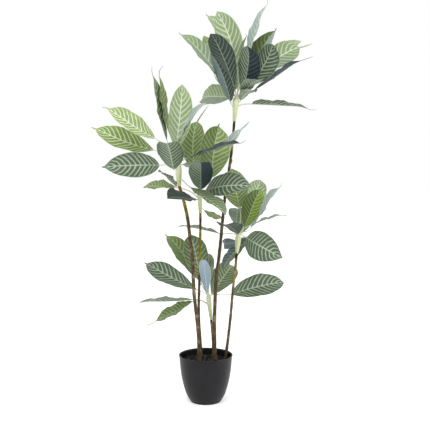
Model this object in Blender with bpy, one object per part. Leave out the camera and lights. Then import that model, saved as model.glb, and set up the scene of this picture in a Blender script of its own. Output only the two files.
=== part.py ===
"""A potted house plant: five woody canes in a plain round pot, each topped by a rosette of pointed leaves.

Units are metres, with X to the right, Y to the back and Z up, from the centre of the pot's underside.
"""

import math
from typing import NamedTuple

import bmesh
import bpy
from mathutils import Vector

CM = 0.01
GAP = 0.0003

# The plant is laid out as it looks from this point in front of it.
VIEWPOINT = Vector((0.0376, -3.0, 0.989))
UP = Vector((0.0, 0.0, 1.0))

# Pot: outer radius at each height, both in centimetres, from the standing edge to the rim.
POT_OUTLINE = ((6.0, 0.0), (6.45, 0.4), (8.0, 3.3), (9.45, 8.3), (10.25, 13.2), (10.75, 19.0))
POT_WALL = 0.003
POT_FLOOR = 0.005
LIP_DROP = 0.004
LIP_WIDTH = 0.0015
POT_SIDES = 36

SOIL_LEVEL = 0.168
SOIL_MOUND = 0.004
SOIL_FLAT_RADIUS = 0.05
HOLE_DEPTH = 0.07
HOLE_SIDES = 12

CANE_SIDES = 8
CANE_STEP = 0.035
RING_BULGE = 0.07
FOOT_FLARE = 0.25
FOOT_FLARE_HEIGHT = 0.05
PEG_RADIUS = 0.003
PEG_LENGTH = 0.009

SHEATH_SIDES = 8
SHEATH_TIP = 0.012
SHEATH_WIDEST = 0.55
SHEATH_SHOULDER = 0.85
SHEATH_CLOSING = 0.6

STALK_SIDES = 3
STALK_STEPS = 5
STALK_RADIUS = 0.0026
STALK_END_RADIUS = 0.0016
KEEL_SHARE = 0.06
STALK_RISE = 0.35
STALK_RUN_IN = 0.4

BLADE_STATIONS = (0.0, 0.1, 0.26, 0.43, 0.6, 0.77, 0.91, 1.0)
BLADE_THICKNESS = 0.0009
BASE_HALF_WIDTH = 0.002
TIP_HALF_WIDTH = 0.0008
WAVE_HEIGHT = 0.0035
WAVES = 2.6
WAVE_LAG = 1.3
LEAF_LAG = 2.4
BASE_FULLNESS = 0.65
TIP_FULLNESS = 0.5
TIP_NARROWING = 0.85
TIP_POWER = 13
BOW_PULL = 0.75
CURL_START = 0.75
HEADING_STEP = 0.01
# A drip tip is the thin thread past the end of some blades, and its stations go on from 1 to 2.
DRIP_STATIONS = (1.5, 2.0)
DRIP_PULL = 0.5
DRIP_HALF_WIDTH = 0.0034


class Leaf(NamedTuple):
    """A leaf, in centimetres right, up and back from its shoot's crown.

    face is how far the upper side is turned from the viewpoint, in degrees, about the leaf's own length:
    0 shows it square on, 90 turns it to the leaf's right, 180 shows the underside. With None it faces upward.
    bow lifts the middle towards the upper side, sway moves it to the leaf's right, curl bends the tip under.
    fold is how far each half stands up from flat, and twist how far the blade turns from base to tip, both in
    degrees. root is the share of the sheath's height where the stalk leaves it, and belly the share of the
    blade's length where it is widest. drip goes from the blade's tip to the end of its thin drip tip, if any.
    """

    base: tuple
    tip: tuple
    width: float = 9.6
    face: float | None = None
    bow: float = 1.2
    sway: float = 0.0
    curl: float = 1.0
    fold: float = 16.0
    root: float = 0.8
    belly: float = 0.54
    twist: float = 0.0
    drip: tuple = ()


class Shoot(NamedTuple):
    """A cane and the shoot on it. Points are (right, up, back) in centimetres, radii are in centimetres."""

    name: str
    cane: tuple
    cane_radii: tuple
    sheath_top: tuple
    sheath_radii: tuple
    crown: tuple
    leaves: tuple


TALL_LEAVES = (
    Leaf((-0.9, 4.0, -4), (-9.8, 24.4, -17), 9.6, face=150, twist=50),
    Leaf((-2.1, -2.6, -1), (-9.4, 16.4, -7), 10.0, face=136, root=0.35),
    Leaf((-5.5, 5.6, 1), (-21.4, 24.2, 8), 9.6, face=50, fold=22, drip=(-1.0, 0.5, 0)),
    Leaf((0.8, 7.5, 3), (-7.7, 32.8, 8), 10.8, face=-8, sway=1.8),
    Leaf((0.8, 16.8, 8), (-11.0, 31.3, 14), 7.0, face=35, drip=(-0.8, 0.4, 0)),
    Leaf((-8.6, 8.6, 9), (-12.4, 23.6, 14), 5.6, face=20),
    Leaf((2.5, 1.2, -3), (4.9, 19.6, -20), 10.4, face=155, sway=-0.5),
    Leaf((5.9, 4.2, -2), (14.8, 20.2, -15), 10.2, face=165, sway=-0.6),
    Leaf((4.0, 10.8, 2), (11.4, 35.4, 3), 9.0, face=-70, bow=0.5, drip=(0.7, 1.6, 0)),
    Leaf((3.2, 5.0, -1), (3.2, 22.8, -2), 5.6, face=-108, bow=0.4, drip=(0.5, 0.8, 0)),
    Leaf((3.5, 3.9, 1), (15.1, 25.6, 8), 9.6, face=-38, fold=24, drip=(0.7, 0.8, 0)),
    Leaf((7.1, 4.6, 2), (25.2, 19.0, 9), 11.0, face=-20, sway=-1.6, belly=0.7, drip=(4.9, 1.0, 1)),
    Leaf((10.0, 11.6, 9), (25.8, 21.6, 15), 5.2, face=-30),
    Leaf((7.4, 2.0, -1), (25.2, 14.2, -4), 8.6, face=-104, bow=-0.4, drip=(5.0, 0.8, 0)),
    Leaf((2.2, -0.4, -3), (9.8, 6.4, -20), 7.0, face=-130),
    Leaf((1.8, -2.2, -1), (7.8, 2.0, -14), 6.0, root=0.6),
    Leaf((6.4, -3.5, -1), (28.9, -4.6, -2), 10.4, face=-80, bow=0.0, root=0.45, belly=0.3, drip=(3, -1, 0)),
    Leaf((-2.2, -1.0, 4), (-14.0, -1.2, 20), 10.8, face=32, fold=22, root=0.6, belly=0.44),
    Leaf((1.0, 2.0, 5), (3.0, 12.0, 27), 9.4),
    Leaf((-1.0, 1.0, 5), (-6.0, 9.0, 26), 9.4),
)

LEFT_LEAVES = (
    Leaf((-9.1, 9.8, -2), (-27.4, 21.9, -6), 9.2, face=30, bow=0.3, sway=-0.8, fold=30, drip=(-2.6, 0, 0)),
    Leaf((-9.7, 5.2, 1), (-32.6, 14.0, 2), 10.0, face=30, bow=0.3, sway=-1.2, fold=20, drip=(-1.8, 0.2, 0)),
    Leaf((-7.4, -0.8, -4), (-29.2, -1.4, -15), 10.2, face=10, belly=0.5, drip=(-1.0, 0.0, 0)),
    Leaf((-0.8, 5.2, 2), (2.0, 31.2, 5), 9.8, face=10),
    Leaf((-1.8, -2.4, -4), (-4.8, 9.4, -26), 10.6, curl=2.0, belly=0.44),
    Leaf((-4.4, 9.2, 3), (-9.0, 35.0, 4), 9.4, face=72, bow=-1.2, drip=(-1.0, 3.0, 0)),
    Leaf((-2.8, 10.3, 6), (-6.4, 34.6, 9), 8.0, face=70, bow=-1.6, drip=(0.8, 3.6, 0)),
    Leaf((-0.4, 6.4, -2), (10.5, 24.2, -16), 8.4, face=-80, bow=0.6),
    Leaf((4.6, 2.2, -4), (24.3, 8.8, -16), 8.2, face=-80, bow=-0.2, drip=(2.6, 0.5, 0)),
    Leaf((-0.8, -9.4, -1), (-7.4, -2.7, 12), 6.0, face=72, bow=0.2, root=0.17),
    Leaf((4.9, -9.6, -8), (19.4, -19.8, -20), 9.4, face=-65, bow=0.1, root=0.17),
    Leaf((1.6, -0.6, -1), (9.6, -2.6, -6), 8.4, face=-68, bow=0.4),
    Leaf((-1.5, 0.6, 4), (-5.0, 2.6, 27), 9.4),
)

MIDDLE_LEAVES = (
    Leaf((4.8, 4.2, -1), (7.8, 24.8, 4), 13.2, face=15, sway=-1.0, fold=20, belly=0.5, drip=(0.1, 0.9, 0)),
    Leaf((0.6, -0.6, -4), (0.4, 11.0, -27), 9.8, belly=0.44),
    Leaf((-1.6, 6.6, 3), (-0.9, 26.8, 13), 10.2, face=-10, sway=-1.2, drip=(4.6, 5.9, 1)),
    Leaf((1.5, 5.0, 6), (6.4, 21.0, 16), 8.0, face=-10),
    Leaf((9.8, 14.4, 4), (16.6, 23.6, -1), 4.0, face=-20, belly=0.4, drip=(3.2, 2.8, 0)),
    Leaf((2.4, -1.0, -3), (20.2, 1.0, -19), 11.0, face=-35, bow=1.6, belly=0.5),
    Leaf((-0.8, -4.6, -3), (-12.4, -3.4, -20), 9.8, face=64, bow=0.2, root=0.5, belly=0.66),
    Leaf((-9.2, 0.2, 6), (-22.2, 0.8, 20), 8.2, face=60, bow=0.2, curl=0.3, root=0.3, belly=0.66),
    Leaf((1.8, -8.8, 3), (8.8, -12.2, 14), 3.2, face=35, bow=0.2, curl=0.0, root=0.17),
    Leaf((0.5, 2.0, 5), (1.0, 9.0, 27), 9.4),
)

RIGHT_LEAVES = (
    Leaf((2.2, 3.0, -1), (8.4, 18.4, -2), 8.8, face=-10, bow=1.2, curl=1.6, belly=0.6),
    Leaf((0.2, 10.8, 1), (-3.0, 26.4, 0), 10.4, face=0, bow=0.8),
    Leaf((-1.0, 4.0, 2), (-0.6, 11.2, 10), 7.2),
    Leaf((4.6, 2.6, -3), (15.1, 19.2, -10), 9.0, face=-70, bow=-0.2, drip=(1.8, 1.6, 0)),
    Leaf((6.0, 4.4, 4), (18.9, 8.4, 22), 3.8, bow=0.4),
    Leaf((3.0, -1.2, -4), (16.8, -9.0, -22), 11.4, face=5, fold=12, belly=0.5),
    Leaf((-0.6, 0.2, -4), (-6.9, 4.2, -25), 9.6),
    Leaf((-0.5, -2.8, 1), (-6.6, -3.8, 10), 4.6, face=0, belly=0.5),
    Leaf((4.0, -1.6, 2), (-7.2, -14.4, 11), 7.0, face=46, root=0.6, belly=0.4),
    Leaf((-8.0, 0.6, 4), (-24.6, 4.0, 20), 6.5, bow=0.2, root=0.7),
    Leaf((2.4, 4.5, 5), (8.6, 22.5, 18), 9.0, face=0, belly=0.62),
    Leaf((1.5, 1.0, 4), (3.0, 9.0, 26), 9.4),
)

LOW_LEAVES = (
    Leaf((9.5, -1.2, 4), (30.7, 3.8, 13), 10.6, face=-25, belly=0.5),
    Leaf((1.4, -1.4, 2), (9.9, 11.0, 21), 10.4, face=-10),
    Leaf((-4.3, 4.9, 5), (-16.5, 22.9, 15), 10.0, face=38, drip=(-0.8, 0.9, 0)),
    Leaf((-3.0, 3.7, 3), (-7.1, 23.2, 12), 10.6, face=10),
    Leaf((0.0, 4.0, 2), (-0.4, 15.8, 14), 5.5),
    Leaf((-0.6, -1.2, -2), (-2.3, 13.6, -20), 4.6),
    Leaf((-4.6, 0.6, 4), (-25.2, 11.6, 14), 9.2, face=25, bow=0.4, sway=-0.8, belly=0.6, drip=(-0.8, 0.1, 0)),
    Leaf((-6.3, -3.5, 4), (-28.6, -4.2, 6), 8.8, face=80, bow=-0.4, root=0.4, drip=(-3.3, -1.6, 0)),
    Leaf((-6.4, -4.3, 3), (-22.0, -11.9, 10), 9.6, face=62, bow=-0.8, root=0.4, drip=(-5.2, -1.9, 0)),
)

SHOOTS = (
    Shoot(
        "tall",
        ((3.6, 17.0, 0.8), (3.5, 30.7, 1.2), (3.9, 43.8, 2), (4.5, 52.3, 2.6), (5.5, 60.0, 3.2),
         (6.8, 73.7, 4.4), (7.8, 83.3, 5.2), (9.5, 94.9, 6.2), (10.5, 102.5, 6.8), (11.4, 112.9, 7.6)),
        (0.8, 0.5),
        (12.2, 122.3, 8.2),
        (0.65, 1.1, 1.3),
        (12.0, 123.2, 8),
        TALL_LEAVES,
    ),
    Shoot(
        "left",
        ((-2.7, 16.7, -1.5), (-2.9, 26.6, -2), (-4.2, 39.3, -2), (-4.8, 45.8, -2), (-5.3, 57.3, -2),
         (-6.0, 63.8, -2), (-7.0, 72.9, -2), (-8.5, 80.5, -2.5), (-10.5, 87.3, -3)),
        (0.7, 0.65),
        (-10.8, 96.3, -3),
        (0.7, 1.2, 1.0),
        (-11.0, 96.4, -3),
        LEFT_LEAVES,
    ),
    Shoot(
        "middle",
        ((-1.7, 17.4, 2), (-2.6, 31.1, 1.8), (-2.8, 39.3, 1.6), (-2.6, 47.0, 1.5), (-2.3, 61.2, 1.2),
         (-2.1, 70.1, 1), (-2.1, 76.5, 1)),
        (0.55, 0.5),
        (-2.4, 86.5, 1),
        (0.6, 1.0, 1.1),
        (-2.4, 86.5, 1),
        MIDDLE_LEAVES,
    ),
    Shoot(
        "right",
        ((8.1, 17.9, 4), (9.1, 25.8, 3.5), (10.1, 35.0, 3), (10.8, 43.4, 3), (11.4, 49.5, 3), (12.0, 55.0, 3),
         (12.5, 60.3, 3)),
        (0.55, 0.5),
        (13.3, 68.9, 3),
        (0.6, 1.2, 1.0),
        (13.4, 67.7, 3),
        RIGHT_LEAVES,
    ),
    Shoot(
        "low",
        ((3.1, 18.1, 5), (2.9, 25.0, 4.5), (2.2, 33.3, 4)),
        (0.5, 0.45),
        (1.1, 43.6, 4),
        (0.55, 0.9, 1.0),
        (1.1, 45.0, 4),
        LOW_LEAVES,
    ),
)

# The bud on the tall cane: where it starts and ends, right, up and back in centimetres.
BUD = ((9.4, 95.2, 6), (10.6, 97.8, 5.6))
BUD_RADIUS = 0.0045
BUD_SHAPE = ((0.0, 0.8), (0.5, 1.0), (1.0, 0.4))

BLACK = (0.012, 0.013, 0.014)
EARTH = (0.02, 0.018, 0.016)
BARK = (0.12, 0.07, 0.035)
GREEN = (0.11, 0.2, 0.09)


def seen(right, up, back):
    """The point that looks to be right and up of the pot's foot, pushed back along the line of sight."""
    in_axis_plane = Vector((right * CM, 0.0, up * CM))
    return VIEWPOINT + (in_axis_plane - VIEWPOINT) * (1.0 - back * CM / VIEWPOINT.y)


def from_crown(shoot, offset):
    """A point given by its offset from the shoot's crown."""
    return seen(*(c + o for c, o in zip(shoot.crown, offset)))


def smooth_between(a, b, c, d, share):
    """A point of the smooth curve through b and c, with a before it and d after it."""
    return 0.5 * (
        2.0 * b
        + (c - a) * share
        + (2.0 * a - 5.0 * b + 4.0 * c - d) * share**2
        + (3.0 * b - a - 3.0 * c + d) * share**3
    )


def smooth_path(points, step):
    """Points about a step apart on a smooth curve through the given points."""
    path = [points[0]]
    for i in range(len(points) - 1):
        before = points[max(i - 1, 0)]
        after = points[min(i + 2, len(points) - 1)]
        count = max(1, round((points[i + 1] - points[i]).length / step))
        for k in range(1, count + 1):
            path.append(smooth_between(before, points[i], points[i + 1], after, k / count))
    return path


def bezier(a, b, c, d, share):
    """A point of the cubic curve from a to d that b and c pull on."""
    rest = 1.0 - share
    return a * rest**3 + b * (3.0 * rest**2 * share) + c * (3.0 * rest * share**2) + d * share**3


def directions(path):
    """The direction of a path at each of its points."""
    last = len(path) - 1
    return [(path[min(i + 1, last)] - path[max(i - 1, 0)]).normalized() for i in range(last + 1)]


def square_to(direction, hint):
    """The part of the hint that is square to the direction, as a unit vector."""
    return (hint - direction * hint.dot(direction)).normalized()


def ring(bm, centre, direction, radius, sides, hint):
    """Vertices evenly round a centre, square to a direction."""
    first = square_to(direction, hint)
    second = direction.cross(first)
    turns = (2.0 * math.pi * k / sides for k in range(sides))
    return [bm.verts.new(centre + (first * math.cos(t) + second * math.sin(t)) * radius) for t in turns]


def join_rings(bm, rings):
    """Faces between neighbouring rings, with flat ends."""
    for lower, upper in zip(rings, rings[1:]):
        for k in range(len(lower)):
            n = (k + 1) % len(lower)
            bm.faces.new((lower[k], lower[n], upper[n], upper[k]))
    bm.faces.new(list(reversed(rings[0])))
    bm.faces.new(rings[-1])


def tube(bm, path, radii, sides, hint=Vector((0.0, -1.0, 0.0))):
    """A closed tube along a path, with a radius at each of its points."""
    rings = [ring(bm, p, d, r, sides, hint) for p, d, r in zip(path, directions(path), radii)]
    join_rings(bm, rings)


def turned(bm, origin, axis, profile, sides):
    """A solid turned about an axis. The profile of (radius, height) starts and ends on the axis."""
    hint = Vector((0.0, -1.0, 0.0))
    start = bm.verts.new(origin + axis * profile[0][1])
    end = bm.verts.new(origin + axis * profile[-1][1])
    rings = [ring(bm, origin + axis * height, axis, radius, sides, hint) for radius, height in profile[1:-1]]
    for lower, upper in zip(rings, rings[1:]):
        for k in range(sides):
            n = (k + 1) % sides
            bm.faces.new((lower[k], lower[n], upper[n], upper[k]))
    for k in range(sides):
        n = (k + 1) % sides
        bm.faces.new((start, rings[0][n], rings[0][k]))
        bm.faces.new((end, rings[-1][k], rings[-1][n]))


def material(name, colour, roughness):
    """A plain surface with a colour and a roughness."""
    made = bpy.data.materials.new(name)
    made.use_nodes = True
    shader = made.node_tree.nodes["Principled BSDF"]
    shader.inputs["Base Color"].default_value = (*colour, 1.0)
    shader.inputs["Roughness"].default_value = roughness
    return made


def finish(bm, name, surface, sharp_degrees=40):
    """Turns the shape into a named object of the scene."""
    bmesh.ops.recalc_face_normals(bm, faces=bm.faces)
    mesh = bpy.data.meshes.new(name)
    bm.to_mesh(mesh)
    bm.free()
    mesh.materials.append(surface)
    mesh.shade_smooth()
    mesh.set_sharp_from_angle(angle=math.radians(sharp_degrees))
    made = bpy.data.objects.new(name, mesh)
    bpy.context.scene.collection.objects.link(made)
    return made


def merge(body, parts, operation="UNION"):
    """Joins the parts to the body, or cuts them from it, and removes them."""
    group = bpy.data.collections.new(body.name + "_parts")
    bpy.context.scene.collection.children.link(group)
    for part in parts:
        bpy.context.scene.collection.objects.unlink(part)
        group.objects.link(part)
    change = body.modifiers.new("merge", "BOOLEAN")
    change.operation = operation
    change.operand_type = "COLLECTION"
    change.collection = group
    change.solver = "EXACT"
    bpy.context.view_layer.update()
    graph = bpy.context.evaluated_depsgraph_get()
    merged = bpy.data.meshes.new_from_object(body.evaluated_get(graph))
    body.modifiers.clear()
    body.data = merged
    for part in parts:
        bpy.data.objects.remove(part)
    bpy.data.collections.remove(group)


def pot_radius(height):
    """The pot's outer radius at a height."""
    level = height / CM
    for (r0, z0), (r1, z1) in zip(POT_OUTLINE, POT_OUTLINE[1:]):
        if level <= z1:
            return (r0 + (r1 - r0) * (level - z0) / (z1 - z0)) * CM
    return POT_OUTLINE[-1][0] * CM


def make_pot(surface):
    """The pot: a round shell with a lip, standing on a flat foot."""
    outer = [(r * CM, z * CM) for r, z in POT_OUTLINE]
    rim_radius, rim_height = outer[-1]
    lip = [
        (rim_radius, rim_height - LIP_DROP),
        (rim_radius + LIP_WIDTH, rim_height - LIP_DROP + LIP_WIDTH),
        (rim_radius + LIP_WIDTH, rim_height),
        (rim_radius - POT_WALL, rim_height),
    ]
    inner = [(r - POT_WALL, z) for r, z in reversed(outer[2:-1])]
    floor = [(pot_radius(POT_FLOOR) - POT_WALL, POT_FLOOR), (0.0, POT_FLOOR)]
    bm = bmesh.new()
    turned(bm, Vector(), UP, [(0.0, 0.0)] + outer[:-1] + lip + inner + floor, POT_SIDES)
    return finish(bm, "pot", surface)


def make_soil(surface):
    """The fill: it follows the pot's inside with a small gap and rises a little in the middle."""
    side = [(r * CM, z * CM) for r, z in POT_OUTLINE[2:-1]]
    clear = POT_WALL + GAP
    bottom = POT_FLOOR + GAP
    profile = [(0.0, bottom), (pot_radius(bottom) - clear - GAP, bottom)]
    profile += [(r - clear, z) for r, z in side]
    edge_level = SOIL_LEVEL - SOIL_MOUND
    profile += [(pot_radius(edge_level) - clear, edge_level)]
    profile += [(SOIL_FLAT_RADIUS, SOIL_LEVEL), (0.0, SOIL_LEVEL)]
    bm = bmesh.new()
    turned(bm, Vector(), UP, profile, POT_SIDES)
    return finish(bm, "soil", surface)


def foot_of(shoot):
    """Where the cane meets the soil, and the direction in which it leaves it."""
    points = [seen(*p) for p in shoot.cane]
    direction = (points[1] - points[0]).normalized()
    to_soil = (points[0].z - SOIL_LEVEL) / direction.z
    return points[0] - direction * to_soil, direction


def foot_radius(shoot):
    return shoot.cane_radii[0] * CM * (1.0 + FOOT_FLARE)


def make_holes(shoots):
    """Cutters for the holes that the canes stand in."""
    cutters = []
    for shoot in shoots:
        foot, direction = foot_of(shoot)
        radius = (foot_radius(shoot) + GAP) / math.cos(math.pi / HOLE_SIDES)
        deep = foot - direction * (HOLE_DEPTH + GAP)
        bm = bmesh.new()
        tube(bm, [deep, foot + direction * HOLE_DEPTH], [radius, radius], HOLE_SIDES)
        cutters.append(finish(bm, "hole_" + shoot.name, None))
    return cutters


def sheath_axis(shoot):
    """The middle of the sheath's lower end, the direction to its top and its length."""
    bottom = seen(*shoot.cane[-1])
    rise = seen(*shoot.sheath_top) - bottom
    return bottom, rise.normalized(), rise.length


def make_cane(shoot, surface):
    """A cane with faint rings, a straight foot in the soil and a peg at the top."""
    foot, foot_direction = foot_of(shoot)
    path = smooth_path([foot] + [seen(*p) for p in shoot.cane[1:]], CANE_STEP)
    low, high = (r * CM for r in shoot.cane_radii)
    radii = []
    for i, point in enumerate(path):
        share = i / (len(path) - 1)
        flare = 1.0 + FOOT_FLARE * math.exp(-(point - foot).length / FOOT_FLARE_HEIGHT)
        bulge = 1.0 + RING_BULGE * (i % 2) * (1.0 - share)
        radii.append((low + (high - low) * share) * flare * (bulge if i else 1.0))
    top, axis, _ = sheath_axis(shoot)
    path = [foot - foot_direction * HOLE_DEPTH] + path[:-1]
    radii = [foot_radius(shoot)] + radii[:-1]
    headings = [foot_direction] * 2 + directions(path)[2:] + [axis] * 3
    path += [top, top, top + axis * PEG_LENGTH]
    radii += [high, PEG_RADIUS, PEG_RADIUS]
    hint = Vector((0.0, -1.0, 0.0))
    bm = bmesh.new()
    join_rings(bm, [ring(bm, p, d, r, CANE_SIDES, hint) for p, d, r in zip(path, headings, radii)])
    return finish(bm, "cane_" + shoot.name, surface)


def make_bud(surface):
    """The small bud on the side of the tall cane."""
    start, end = (seen(*p) for p in BUD)
    path = [start.lerp(end, share) for share, _ in BUD_SHAPE]
    bm = bmesh.new()
    tube(bm, path, [BUD_RADIUS * width for _, width in BUD_SHAPE], CANE_SIDES)
    return finish(bm, "bud", surface)


def make_sheath(shoot, surface):
    """The pale funnel that the stalks grow from, with a socket for the cane's peg."""
    bottom, axis, length = sheath_axis(shoot)
    low, middle, high = (r * CM for r in shoot.sheath_radii)
    socket = PEG_RADIUS + GAP
    profile = [
        (0.0, PEG_LENGTH + GAP),
        (socket, PEG_LENGTH + GAP),
        (socket, 0.0),
        (low, 0.0),
        (middle, length * SHEATH_WIDEST),
        (high, length * SHEATH_SHOULDER),
        (high * SHEATH_CLOSING, length),
        (0.0, length + SHEATH_TIP),
    ]
    bm = bmesh.new()
    turned(bm, bottom + axis * GAP, axis, profile, SHEATH_SIDES)
    return finish(bm, "shoot_" + shoot.name, surface)


def outline(share, belly):
    """The half width along a blade, as a share of its greatest half width, which is at belly."""
    swell = math.sin(math.pi * share ** (math.log(0.5) / math.log(belly)))
    fullness = BASE_FULLNESS + (TIP_FULLNESS - BASE_FULLNESS) * share
    return max(0.0, swell) ** fullness * (1.0 - TIP_NARROWING * share**TIP_POWER)


def wave(share, side, phase):
    """The height of the waved margin along a blade."""
    share = min(share, 1.0)
    swing = 2.0 * math.pi * WAVES * share + phase + WAVE_LAG * side
    return WAVE_HEIGHT * math.sin(swing) * math.sin(math.pi * share)


class Blade:
    """The middle surface of a leaf's blade."""

    def __init__(self, shoot, leaf, number):
        self.base = from_crown(shoot, leaf.base)
        self.tip = from_crown(shoot, leaf.tip)
        self.along = (self.tip - self.base).normalized()
        self.normal = self.facing(leaf.face)
        self.across = self.along.cross(self.normal)
        self.leaf = leaf
        self.phase = LEAF_LAG * number
        self.last = 2.0 if leaf.drip else 1.0
        self.end = from_crown(shoot, [t + d for t, d in zip(leaf.tip, leaf.drip or (0, 0, 0))])

    def facing(self, face):
        """The direction that the upper side faces."""
        if face is None:
            return square_to(self.along, UP)
        toward = square_to(self.along, VIEWPOINT - (self.base + self.tip) / 2.0)
        turn = math.radians(face)
        return toward * math.cos(turn) + self.along.cross(toward) * math.sin(turn)

    def rib(self, share):
        """A point of the midrib, or of the drip tip when the share is over 1."""
        if share > 1.0:
            return self.drip(share - 1.0)
        pull = (self.normal * self.leaf.bow + self.across * self.leaf.sway) * CM / BOW_PULL
        third = (self.tip - self.base) / 3.0
        point = bezier(self.base, self.base + third + pull, self.tip - third + pull, self.tip, share)
        curled = max(0.0, (share - CURL_START) / (1.0 - CURL_START)) ** 2
        return point - self.normal * (self.leaf.curl * CM * curled)

    def drip(self, share):
        """A point of the drip tip, which leaves the blade the way the midrib was going."""
        start = self.rib(1.0)
        onward = (start - self.rib(1.0 - HEADING_STEP)).normalized()
        middle = start + onward * (DRIP_PULL * (self.end - start).length)
        return start * (1.0 - share) ** 2 + middle * (2.0 * share * (1.0 - share)) + self.end * share**2

    def heading(self, share):
        """The direction of the midrib."""
        after = self.rib(min(share + HEADING_STEP, self.last))
        before = self.rib(max(share - HEADING_STEP, 0.0))
        return (after - before).normalized()

    def half_width(self, share):
        """Half the blade's width, never under that of the stalk it starts from or the thin tip it ends in."""
        if share > 1.0:
            return DRIP_HALF_WIDTH + (TIP_HALF_WIDTH - DRIP_HALF_WIDTH) * (share - 1.0) ** 2
        end = DRIP_HALF_WIDTH if self.leaf.drip else TIP_HALF_WIDTH
        least = BASE_HALF_WIDTH + (end - BASE_HALF_WIDTH) * share
        return max(self.leaf.width * CM / 2.0 * outline(share, self.leaf.belly), least)

    def point(self, share, side):
        """A point of the middle surface, with side from -1 at the left margin to 1 at the right one."""
        heading = self.heading(share)
        turn = math.radians(self.leaf.twist * (min(share, 1.0) - 0.5))
        normal = square_to(heading, self.normal * math.cos(turn) + self.across * math.sin(turn))
        across = heading.cross(normal)
        reach = self.half_width(share) * side
        fold = math.radians(self.leaf.fold)
        lift = abs(reach) * math.sin(fold) + wave(share, side, self.phase) * side**2
        return self.rib(share) + across * (reach * math.cos(fold)) + normal * lift


def make_blade(blade, name, surface):
    """A thin folded and waved blade, split into triangles alike on both faces."""
    stations = BLADE_STATIONS + (DRIP_STATIONS if blade.leaf.drip else ())
    bm = bmesh.new()
    faces = {}
    for face in (1, -1):
        rows = []
        for share in stations:
            offset = square_to(blade.heading(share), blade.normal) * (face * BLADE_THICKNESS / 2.0)
            rows.append([bm.verts.new(blade.point(share, side) + offset) for side in (-1, 0, 1)])
        faces[face] = rows
        for low, high in zip(rows, rows[1:]):
            bm.faces.new((low[0], low[1], high[1]))
            bm.faces.new((low[0], high[1], high[0]))
            bm.faces.new((low[1], low[2], high[1]))
            bm.faces.new((low[2], high[2], high[1]))
    upper, lower = faces[1], faces[-1]
    for edge in (0, -1):
        for i in range(len(upper) - 1):
            bm.faces.new((upper[i][edge], upper[i + 1][edge], lower[i + 1][edge], lower[i][edge]))
    for end in (0, -1):
        for i in (0, 1):
            bm.faces.new((upper[end][i], upper[end][i + 1], lower[end][i + 1], lower[end][i]))
    return finish(bm, name, surface)


def make_stalk(shoot, blade, name, surface):
    """A leaf's stalk, from inside the sheath to the blade and on under it as a keel."""
    bottom, axis, length = sheath_axis(shoot)
    root = bottom + axis * (length * blade.leaf.root)
    reach = (blade.base - root).length
    outward = blade.base - blade.heading(0.0) * (STALK_RUN_IN * reach)
    risen = root + axis * (STALK_RISE * reach)
    path = [bezier(root, risen, outward, blade.base, k / STALK_STEPS) for k in range(STALK_STEPS + 1)]
    path += [blade.rib(KEEL_SHARE)]
    last = len(path) - 1
    radii = [STALK_RADIUS + (STALK_END_RADIUS - STALK_RADIUS) * i / last for i in range(last + 1)]
    bm = bmesh.new()
    tube(bm, path, radii, STALK_SIDES, blade.normal)
    return finish(bm, name, surface)


def make_shoot(shoot, surface):
    """A sheath with its stalks and leaves, as one body."""
    sheath = make_sheath(shoot, surface)
    grown = []
    for number, leaf in enumerate(shoot.leaves):
        blade = Blade(shoot, leaf, number)
        grown.append(make_blade(blade, "blade", surface))
        grown.append(make_stalk(shoot, blade, "stalk", surface))
    merge(sheath, grown)
    return sheath


def main():
    for obj in list(bpy.data.objects):
        bpy.data.objects.remove(obj)
    black = material("black_pot", BLACK, 0.5)
    earth = material("dark_fill", EARTH, 0.95)
    bark = material("brown_bark", BARK, 0.8)
    green = material("leaf_green", GREEN, 0.6)
    make_pot(black)
    merge(make_soil(earth), make_holes(SHOOTS), "DIFFERENCE")
    for shoot in SHOOTS:
        cane = make_cane(shoot, bark)
        if shoot.name == "tall":
            merge(cane, [make_bud(bark)])
        make_shoot(shoot, green)


main()
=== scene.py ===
"""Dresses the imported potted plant: veined leaves, bark, a black pot and its granules, with a camera and soft light.

Units are metres, with X to the right, Y to the back and Z up, from the centre of the pot's underside.
"""

import math
import random
from typing import NamedTuple

import bmesh
import bpy
from mathutils import Matrix, Vector, noise

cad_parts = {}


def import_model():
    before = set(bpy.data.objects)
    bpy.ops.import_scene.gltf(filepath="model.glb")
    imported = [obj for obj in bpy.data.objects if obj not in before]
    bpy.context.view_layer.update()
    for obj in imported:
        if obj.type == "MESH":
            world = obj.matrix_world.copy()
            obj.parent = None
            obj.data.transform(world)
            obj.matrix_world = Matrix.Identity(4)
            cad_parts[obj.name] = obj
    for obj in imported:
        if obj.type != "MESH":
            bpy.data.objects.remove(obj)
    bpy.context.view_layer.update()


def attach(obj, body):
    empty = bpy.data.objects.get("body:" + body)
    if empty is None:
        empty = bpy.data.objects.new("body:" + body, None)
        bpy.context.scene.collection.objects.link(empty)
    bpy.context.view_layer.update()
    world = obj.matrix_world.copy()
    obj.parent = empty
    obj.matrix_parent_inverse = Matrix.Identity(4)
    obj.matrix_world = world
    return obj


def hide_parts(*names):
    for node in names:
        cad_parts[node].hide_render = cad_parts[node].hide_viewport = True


CM = 0.01

# The plant is laid out as it looks from this point in front of it.
VIEWPOINT = Vector((0.0376, -3.0, 0.989))
VIEW_TILT = 4.42
LENS = 63.0
UP = Vector((0.0, 0.0, 1.0))
FORWARD = Vector((0.0, -1.0, 0.0))

# Pot: outer radius at each height, both in centimetres, from the standing edge to the rim.
POT_OUTLINE = ((6.0, 0.0), (6.45, 0.4), (8.0, 3.3), (9.45, 8.3), (10.25, 13.2), (10.75, 19.0))
POT_WALL = 0.003
POT_SIDES = 120
POT_STEP = 0.006
LIP_WIDTH = 0.0015
LIP_DROP = 0.004
LIP_ROUND = 0.0007

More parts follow.
